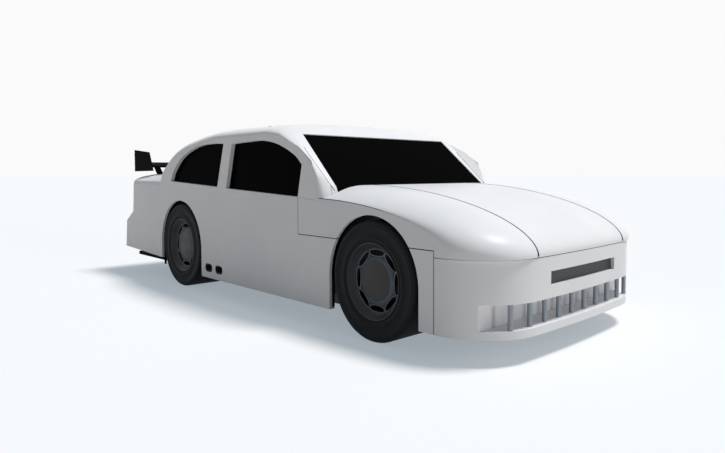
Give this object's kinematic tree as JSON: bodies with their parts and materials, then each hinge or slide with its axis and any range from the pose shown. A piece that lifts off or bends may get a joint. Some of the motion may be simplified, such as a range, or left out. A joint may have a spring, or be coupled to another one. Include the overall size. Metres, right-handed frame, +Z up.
{
  "type": "stock car",
  "caption": "Full-size closed-wheel racing coupe with a flat-sided body on a tube-rail chassis, steered front wheels, an opening hood and a deck lid that carries a wing.",
  "frame": {"origin": "on the ground under the middle of the car", "axes": "+X forward along the car, +Y to its left, +Z up"},
  "size_m": [5.215, 1.92, 1.5299],
  "materials": {
    "body_white": "smooth white paint",
    "dark_grey": "matt dark grey mesh",
    "black_glass": "opaque black window sheet",
    "black_plastic": "matt black",
    "chassis_black": "satin black chassis paint",
    "cast_iron": "as cast",
    "exhaust_steel": "heat-resistant black coating",
    "tyre_rubber": "matt rubber",
    "wheel_grey": "dark grey powder coat"
  },
  "bodies": {
    "chassis": {"side_panel_right": "body_white", "side_panel_left": "body_white", "roof_shell": "body_white", "front_fender_right": "body_white", "front_fender_left": "body_white", "fender_lower_right": "body_white", "fender_lower_left": "body_white", "nose_fascia": "body_white", "splitter": "body_white", "tail_panel": "body_white", "rear_bumper": "body_white", "grille_panel": "dark_grey", "windshield": "black_glass", "rear_window": "black_glass", "door_window_right": "black_glass", "door_window_left": "black_glass", "quarter_window_right": "black_glass", "quarter_window_left": "black_glass", "rear_undertray": "black_plastic", "fuel_cell": "black_plastic", "floor_pan": "chassis_black", "rear_floor": "chassis_black", "front_wheelhouse_right": "chassis_black", "front_wheelhouse_left": "chassis_black", "frame_rail_right": "chassis_black", "frame_rail_left": "chassis_black", "front_crossmember": "chassis_black", "lower_arm_right": "chassis_black", "lower_arm_left": "chassis_black", "upper_arm_right": "chassis_black", "upper_arm_left": "chassis_black", "rear_axle": "chassis_black", "engine_block": "cast_iron", "gearbox": "cast_iron", "drive_shaft": "cast_iron", "exhaust": "exhaust_steel"},
    "hood": {"hood": "body_white"},
    "deck_lid": {"deck_lid": "body_white", "rear_wing": "black_plastic", "wing_endplate_right": "black_plastic", "wing_endplate_left": "black_plastic"},
    "knuckle_right": {"knuckle_right": "cast_iron"},
    "knuckle_left": {"knuckle_left": "cast_iron"},
    "tie_rod": {"tie_rod": "cast_iron"},
    "wheel_front_right": {"tyre_front_right": "tyre_rubber", "rim_front_right": "wheel_grey"},
    "wheel_front_left": {"tyre_front_left": "tyre_rubber", "rim_front_left": "wheel_grey"},
    "wheel_rear_right": {"tyre_rear_right": "tyre_rubber", "rim_rear_right": "wheel_grey"},
    "wheel_rear_left": {"tyre_rear_left": "tyre_rubber", "rim_rear_left": "wheel_grey"}
  },
  "joints": [
    {"name": "hood_hinge", "type": "hinge", "parent": "chassis", "child": "hood", "pos_m": [1.1425, 0, 1.015], "axis": [0, -1, 0], "range_deg": [0, 60]},
    {"name": "deck_lid_hinge", "type": "hinge", "parent": "chassis", "child": "deck_lid", "pos_m": [-1.6925, 0, 1.1103], "axis": [0, 1, 0], "range_deg": [0, 50]},
    {"name": "steer_right", "type": "hinge", "parent": "chassis", "child": "knuckle_right", "pos_m": [1.5925, -0.7, 0.4], "axis": [0, 0, 1], "range_deg": [-20, 20]},
    {"name": "steer_left", "type": "hinge", "parent": "chassis", "child": "knuckle_left", "pos_m": [1.5925, 0.7, 0.4], "axis": [0, 0, 1], "range_deg": [-20, 20]},
    {"name": "tie_rod_slide", "type": "slide", "parent": "chassis", "child": "tie_rod", "axis": [0, 1, 0], "range_m": [-0.0525, 0.0525]},
    {"name": "spin_front_right", "type": "hinge", "parent": "knuckle_right", "child": "wheel_front_right", "pos_m": [1.5925, -0.755, 0.4], "axis": [0, 1, 0], "continuous": true},
    {"name": "spin_front_left", "type": "hinge", "parent": "knuckle_left", "child": "wheel_front_left", "pos_m": [1.5925, 0.755, 0.4], "axis": [0, 1, 0], "continuous": true},
    {"name": "spin_rear_right", "type": "hinge", "parent": "chassis", "child": "wheel_rear_right", "pos_m": [-1.2015, -0.755, 0.4], "axis": [0, 1, 0], "continuous": true},
    {"name": "spin_rear_left", "type": "hinge", "parent": "chassis", "child": "wheel_rear_left", "pos_m": [-1.2015, 0.755, 0.4], "axis": [0, 1, 0], "continuous": true}
  ],
  "couplings": [
    {"joint": "steer_left", "follows": "steer_right", "ratio": 1},
    {"joint": "tie_rod_slide", "follows": "steer_right", "m_per_rad": 0.15}
  ]
}
